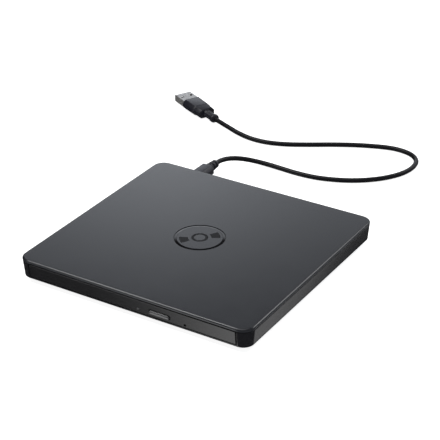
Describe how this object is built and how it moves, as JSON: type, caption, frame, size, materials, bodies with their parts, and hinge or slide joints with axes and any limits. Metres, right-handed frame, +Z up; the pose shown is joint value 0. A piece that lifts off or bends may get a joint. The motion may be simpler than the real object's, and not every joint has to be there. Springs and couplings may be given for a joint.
{
  "type": "external optical drive",
  "caption": "Slim portable optical disc drive with a slide-out tray, rounded flat case and a USB cable plugged in at the rear.",
  "frame": {"origin": "on the table, under the middle of the case", "axes": "+X to the right seen from the front, +Y to the rear, +Z up; the tray opens towards -Y"},
  "size_m": [0.199, 0.2497, 0.014],
  "materials": {
    "lid_plastic": "satin, finely textured charcoal",
    "case_plastic": "satin, finely textured near-black",
    "bezel_plastic": "gloss black",
    "button_plastic": "gloss grey",
    "lamp_plastic": "translucent light pipe",
    "tray_plastic": "fine matt black",
    "natural_plastic": "unpainted moulded off-white",
    "sheet_steel": "zinc-plated sheet",
    "plated_steel": "nickel plated",
    "cast_metal": "dark coated casting",
    "spring_steel": "bright spring wire",
    "board": "green solder mask",
    "chip": "moulded epoxy",
    "rubber": "soft black",
    "lens_glass": "coated clear lens",
    "label_film": "plain silver film",
    "flex_film": "ribbon film",
    "cord_jacket": "satin black jacket",
    "plug_plastic": "satin black overmould"
  },
  "bodies": {
    "case": {"bottom_case": "case_plastic", "top_cover": "lid_plastic", "foot_front_left": "rubber", "foot_front_right": "rubber", "foot_rear_left": "rubber", "foot_rear_right": "rubber", "case_screw_front_left": "plated_steel", "case_screw_front_right": "plated_steel", "case_screw_rear_left": "plated_steel", "case_screw_rear_right": "plated_steel", "underside_label": "label_film", "drive_pan": "sheet_steel", "drive_lid": "sheet_steel", "rail_guide_left": "natural_plastic", "rail_guide_right": "natural_plastic", "usb_board": "board", "usb_port_shell": "plated_steel", "usb_port_tongue": "chip", "bridge_chip": "chip", "ribbon_socket": "natural_plastic", "ribbon_cable": "flex_film"},
    "rail_left": {"slide_rail_left": "sheet_steel"},
    "rail_right": {"slide_rail_right": "sheet_steel"},
    "tray": {"tray": "tray_plastic", "tray_cover": "sheet_steel", "bezel": "bezel_plastic", "indicator_lens": "lamp_plastic", "switch_board": "board", "tray_board": "board", "controller_chip": "chip", "latch_solenoid": "cast_metal", "eject_spring": "spring_steel", "traverse_frame": "cast_metal", "deck_plate": "tray_plastic", "spindle_motor": "sheet_steel", "guide_shaft_main": "plated_steel", "guide_shaft_sub": "plated_steel", "feed_motor": "cast_metal", "damper_1": "rubber", "damper_2": "rubber", "damper_3": "rubber"},
    "eject_button": {"eject_button": "button_plastic"},
    "latch_lever": {"latch_lever": "natural_plastic"},
    "solenoid_core": {"solenoid_core": "plated_steel"},
    "eject_plunger": {"eject_plunger": "natural_plastic"},
    "turntable": {"turntable": "plated_steel", "turntable_pad": "rubber"},
    "clamp_claw_1": {"clamp_claw_1": "natural_plastic"},
    "clamp_claw_2": {"clamp_claw_2": "natural_plastic"},
    "clamp_claw_3": {"clamp_claw_3": "natural_plastic"},
    "lead_screw": {"lead_screw": "plated_steel"},
    "pickup": {"pickup_sled": "cast_metal"},
    "lens": {"lens_holder": "chip", "objective_lens": "lens_glass"},
    "cord": {"micro_plug_shell": "plated_steel", "micro_plug_body": "plug_plastic", "usb_cable": "cord_jacket", "usb_a_body": "plug_plastic", "usb_a_shell": "plated_steel", "usb_a_tongue": "natural_plastic"}
  },
  "joints": [
    {"name": "tray_slide", "type": "slide", "parent": "case", "child": "tray", "axis": [0, -1, 0], "range_m": [0, 0.12], "deforming": ["ribbon_cable"]},
    {"name": "rail_left_slide", "type": "slide", "parent": "case", "child": "rail_left", "axis": [0, -1, 0], "range_m": [0, 0.06]},
    {"name": "rail_right_slide", "type": "slide", "parent": "case", "child": "rail_right", "axis": [0, -1, 0], "range_m": [0, 0.06]},
    {"name": "eject_button_press", "type": "slide", "parent": "tray", "child": "eject_button", "axis": [0, 1, 0], "range_m": [0, 0.0005], "stiffness_N_per_m": 1500},
    {"name": "solenoid_core_slide", "type": "slide", "parent": "tray", "child": "solenoid_core", "axis": [1, 0, 0], "range_m": [0, 0.00104], "stiffness_N_per_m": 200},
    {"name": "latch_pivot", "type": "hinge", "parent": "tray", "child": "latch_lever", "pos_m": [0.026, -0.042, 0.0048], "axis": [0, 0, 1], "range_deg": [0, 8.5]},
    {"name": "eject_plunger_slide", "type": "slide", "parent": "tray", "child": "eject_plunger", "axis": [0, 1, 0], "range_m": [0, 0.008], "deforming": ["eject_spring"]},
    {"name": "spindle_turn", "type": "hinge", "parent": "tray", "child": "turntable", "pos_m": [0, -0.0041, 0.008], "axis": [0, 0, 1], "continuous": true},
    {"name": "clamp_claw_1_press", "type": "slide", "parent": "turntable", "child": "clamp_claw_1", "axis": [0.7071, 0.7071, 0], "range_m": [0, 0.0008], "stiffness_N_per_m": 300},
    {"name": "clamp_claw_2_press", "type": "slide", "parent": "turntable", "child": "clamp_claw_2", "axis": [-0.9659, 0.2588, 0], "range_m": [0, 0.0008], "stiffness_N_per_m": 300},
    {"name": "clamp_claw_3_press", "type": "slide", "parent": "turntable", "child": "clamp_claw_3", "axis": [0.2588, -0.9659, 0], "range_m": [0, 0.0008], "stiffness_N_per_m": 300},
    {"name": "pickup_slide", "type": "slide", "parent": "tray", "child": "pickup", "axis": [-0.7071, -0.7071, 0], "range_m": [0, 0.034]},
    {"name": "lead_screw_turn", "type": "hinge", "parent": "tray", "child": "lead_screw", "pos_m": [-0.01153, -0.04207, 0.0062], "axis": [-0.7071, -0.7071, 0], "range_deg": [0, 4080.1]},
    {"name": "lens_focus", "type": "slide", "parent": "pickup", "child": "lens", "axis": [0, 0, 1], "range_m": [-0.0003, 0.0003], "stiffness_N_per_m": 60},
    {"name": "cable_unplug", "type": "slide", "parent": "case", "child": "cord", "axis": [0, 1, 0], "range_m": [0, 0.008]}
  ],
  "couplings": [
    {"joint": "rail_left_slide", "follows": "tray_slide", "ratio": 0.5},
    {"joint": "rail_right_slide", "follows": "tray_slide", "ratio": 0.5},
    {"joint": "eject_plunger_slide", "follows": "tray_slide", "ratio": 0.0665},
    {"joint": "latch_pivot", "follows": "solenoid_core_slide", "rad_per_m": 142.86},
    {"joint": "lead_screw_turn", "follows": "pickup_slide", "rad_per_m": 2094.4}
  ]
}
